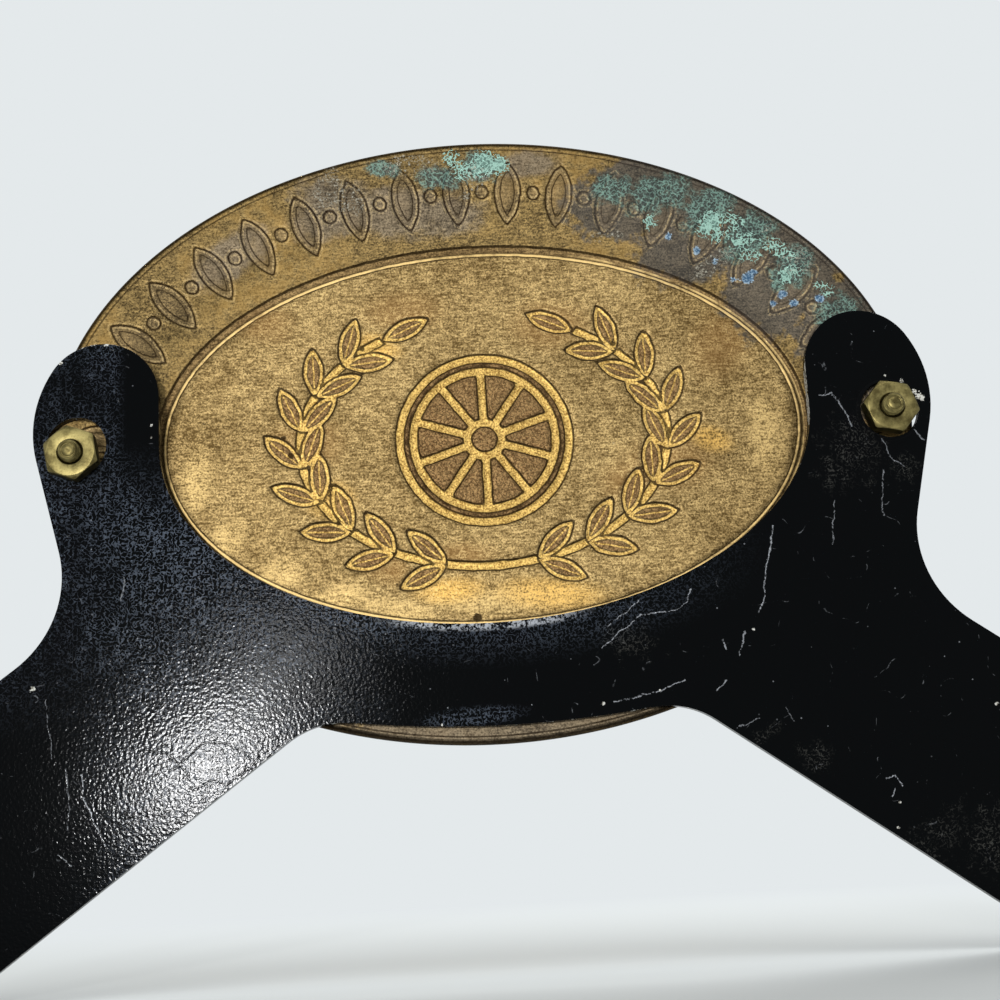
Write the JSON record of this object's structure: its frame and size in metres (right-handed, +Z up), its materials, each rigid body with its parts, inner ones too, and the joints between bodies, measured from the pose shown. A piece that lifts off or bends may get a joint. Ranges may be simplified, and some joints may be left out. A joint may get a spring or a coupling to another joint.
{
  "type": "license plate topper",
  "caption": "Oval struck brass badge with a dished middle, held by two studs and nuts to a black enamelled bracket with two slotted legs for a license plate.",
  "frame": {"origin": "midway between the two plate bolts, on the bracket's rear face", "axes": "+X across the car towards the right leg as seen from the badge's front, +Y out of the bracket's rear, towards the car, +Z up"},
  "size_m": [0.213, 0.0094, 0.1353],
  "materials": {
    "badge_brass": "aged, grained, with brown tarnish and green verdigris",
    "fastener_brass": "turned, olive tarnish",
    "solder": "dull grey",
    "black_enamel": "gloss black, orange peel, scratched and chipped"
  },
  "bodies": {
    "topper": {"badge": "badge_brass", "left_stud": "fastener_brass", "right_stud": "fastener_brass", "left_solder": "solder", "right_solder": "solder", "bracket": "black_enamel"},
    "nut_left": {"left_nut": "fastener_brass"},
    "nut_right": {"right_nut": "fastener_brass"}
  },
  "joints": [
    {"name": "left_nut_turn", "type": "hinge", "parent": "topper", "child": "nut_left", "pos_m": [-0.06516, 0, 0.06709], "axis": [0, 1, 0], "continuous": true},
    {"name": "right_nut_turn", "type": "hinge", "parent": "topper", "child": "nut_right", "pos_m": [0.06584, 0, 0.06571], "axis": [0, 1, 0], "continuous": true}
  ]
}
